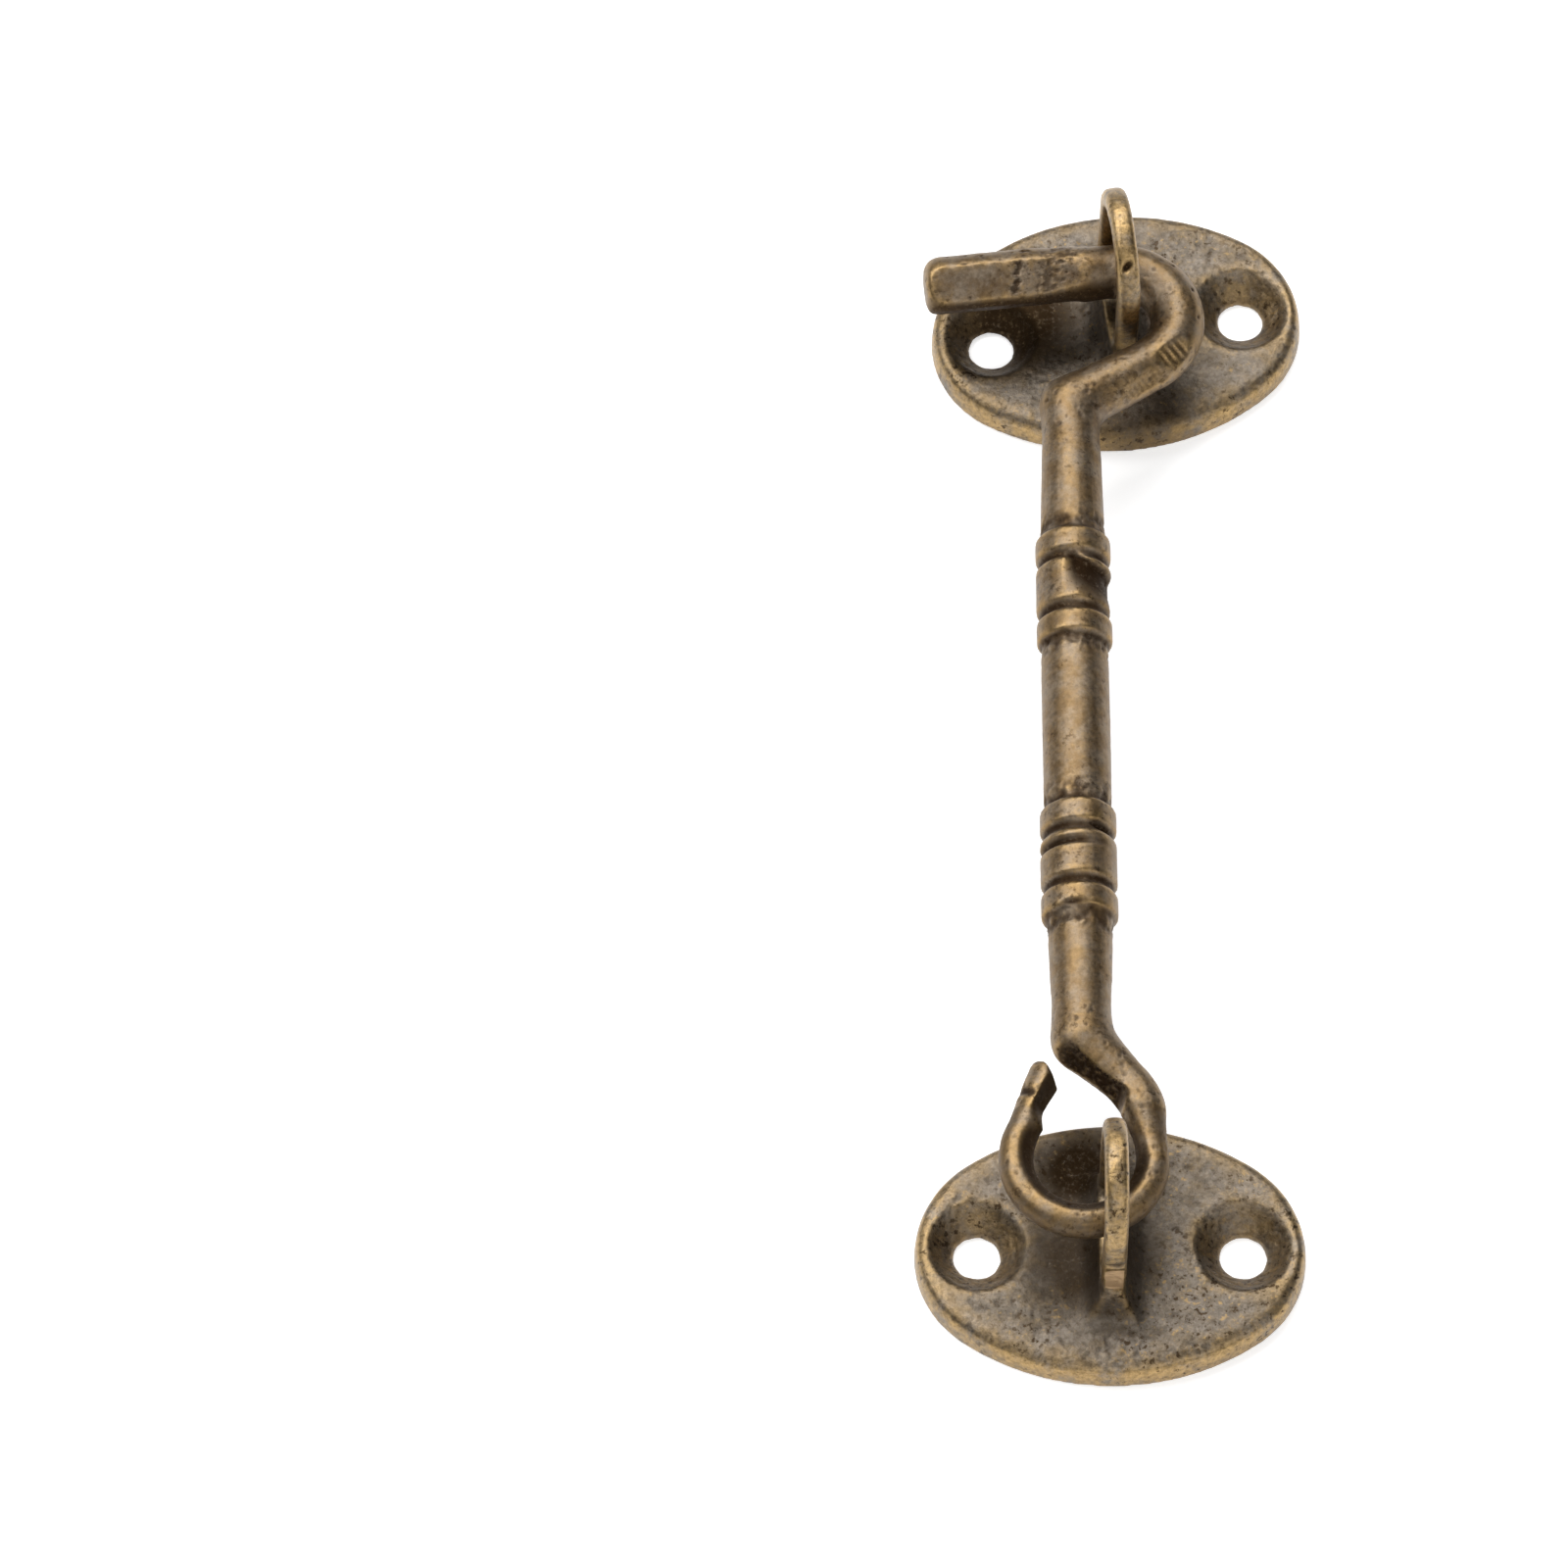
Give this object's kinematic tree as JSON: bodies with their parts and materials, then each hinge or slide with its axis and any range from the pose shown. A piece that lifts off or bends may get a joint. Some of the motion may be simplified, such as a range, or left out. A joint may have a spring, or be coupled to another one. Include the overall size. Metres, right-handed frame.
{
  "type": "hook and eye latch",
  "caption": "Cast cabin hook: a bar with turned collars hangs by its open eye from the staple of an oval screw plate and drops its bent arm into the staple of a matching keeper plate.",
  "frame": {"origin": "middle of the back face of the hinge plate, between its two screw holes", "axes": "+Z out of the plates, +Y from the hinge plate to the keeper plate along the hook, +X to the side on which the hook's bend stands"},
  "size_m": [0.0399, 0.1318, 0.0222],
  "materials": {
    "plate_brass": "antiqued, rough sand-cast face with worn brown-gold rim",
    "hook_brass": "antiqued and rubbed, olive-brown with lighter ridges"
  },
  "bodies": {
    "hinge_plate": {"hinge_plate": "plate_brass"},
    "hook": {"hook": "hook_brass"},
    "keeper_plate": {"keeper_plate": "plate_brass"}
  },
  "joints": [
    {"name": "hook_swing", "type": "hinge", "parent": "hinge_plate", "child": "hook", "pos_m": [-0.00265, 0.0054, 0.0105], "axis": [0, 0, 1], "range_deg": [-105, 0]},
    {"name": "keeper_release", "type": "slide", "parent": "hinge_plate", "child": "keeper_plate", "axis": [-0.9986, -0.0523, 0], "range_m": [0, 0.04]}
  ]
}
